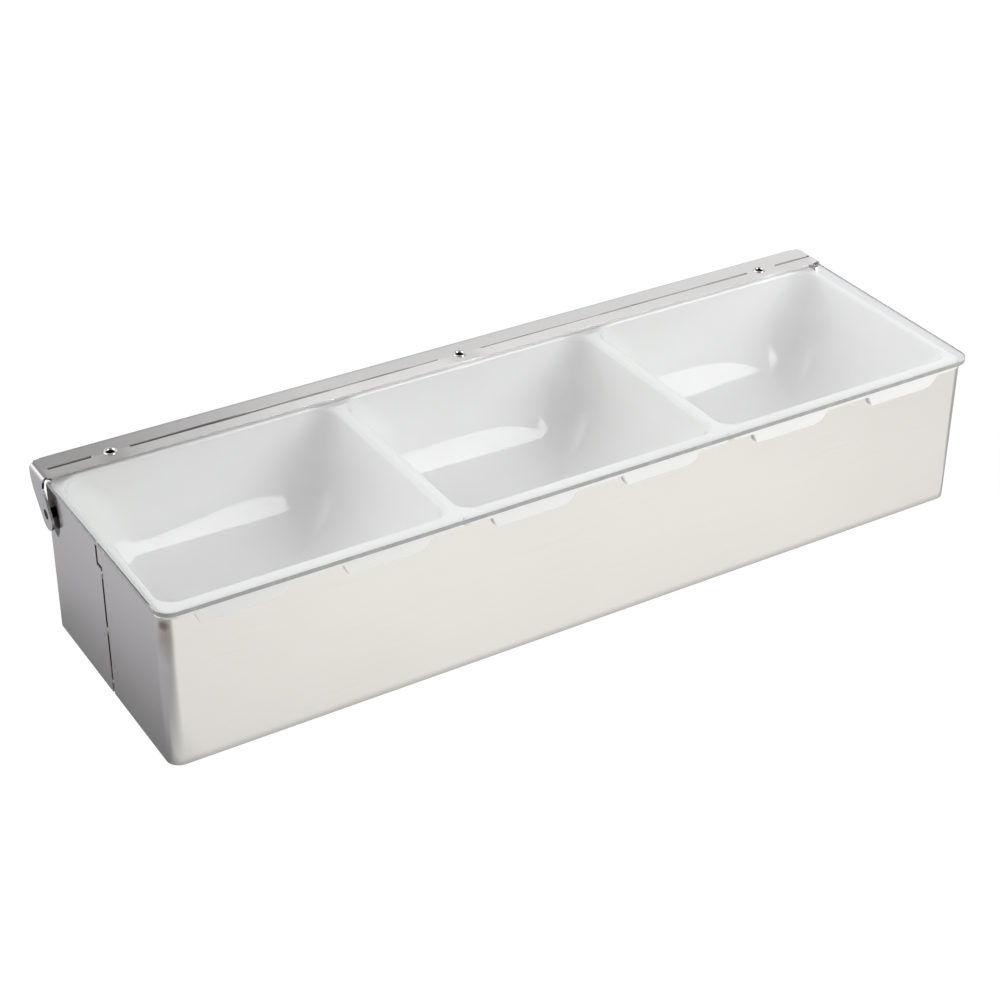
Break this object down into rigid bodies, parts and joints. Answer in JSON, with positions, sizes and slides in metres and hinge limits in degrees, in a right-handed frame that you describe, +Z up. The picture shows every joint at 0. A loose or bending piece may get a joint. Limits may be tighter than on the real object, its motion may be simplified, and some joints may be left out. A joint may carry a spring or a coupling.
{
  "type": "bar condiment caddy",
  "caption": "Long stainless bar caddy with white lift-out condiment inserts under one clear hinged lid.",
  "frame": {"origin": "middle of the underside of the steel box, on the surface it stands on", "axes": "+X along the length to the user's right, -Y towards the user, +Z up; the lid is closed"},
  "size_m": [0.3096, 0.0994, 0.0595],
  "materials": {
    "steel_body": "brushed along the length",
    "steel_inner": "mill",
    "steel_bar": "satin",
    "weld": "heat tinted",
    "eyelet": "polished",
    "black_pin": "satin black",
    "white_insert": "gloss white",
    "clear_lid": "clear"
  },
  "bodies": {
    "root": {"front_shell": "steel_body", "rear_shell": "steel_body", "base_pan": "steel_body", "seam_strap_left": "steel_inner", "seam_strap_right": "steel_inner", "seam_welds": "weld", "insert_left": "white_insert", "insert_middle": "white_insert", "insert_right": "white_insert", "pivot_pin_left": "black_pin", "pivot_pin_right": "black_pin"},
    "lid": {"lid_panel": "clear_lid", "hinge_bar": "steel_bar", "lid_eyelets": "eyelet"}
  },
  "joints": [
    {"name": "lid_hinge", "type": "hinge", "parent": "root", "child": "lid", "pos_m": [0, 0.0406, 0.045], "axis": [-1, 0, 0], "range_deg": [0, 115]}
  ]
}
